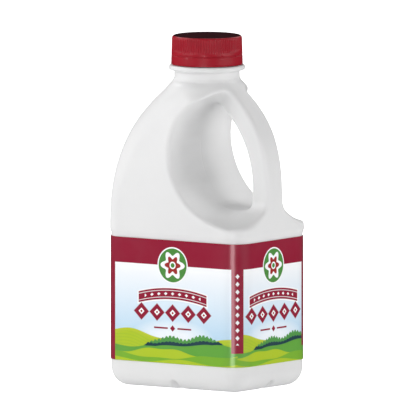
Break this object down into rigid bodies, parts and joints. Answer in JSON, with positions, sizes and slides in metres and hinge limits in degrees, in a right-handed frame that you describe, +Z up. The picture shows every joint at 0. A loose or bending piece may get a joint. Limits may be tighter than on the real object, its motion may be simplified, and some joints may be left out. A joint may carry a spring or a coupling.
{
  "type": "plastic milk jug",
  "caption": "Upright rectangular blown milk jug with an arched shoulder, a side handle over a finger space, a ribbed screw cap and a wrap-around label.",
  "frame": {"origin": "middle of the base, under the axis of the neck", "axes": "+Z up along the neck, +X towards the handle, -Y towards the front face"},
  "size_m": [0.1, 0.0746, 0.2089],
  "materials": {
    "white_plastic": "satin blown plastic, milky white",
    "red_plastic": "satin moulded plastic, dark red",
    "printed_film": "glossy printed film"
  },
  "bodies": {
    "root": {"jug": "white_plastic", "cap": "red_plastic", "label": "printed_film"}
  },
  "joints": []
}
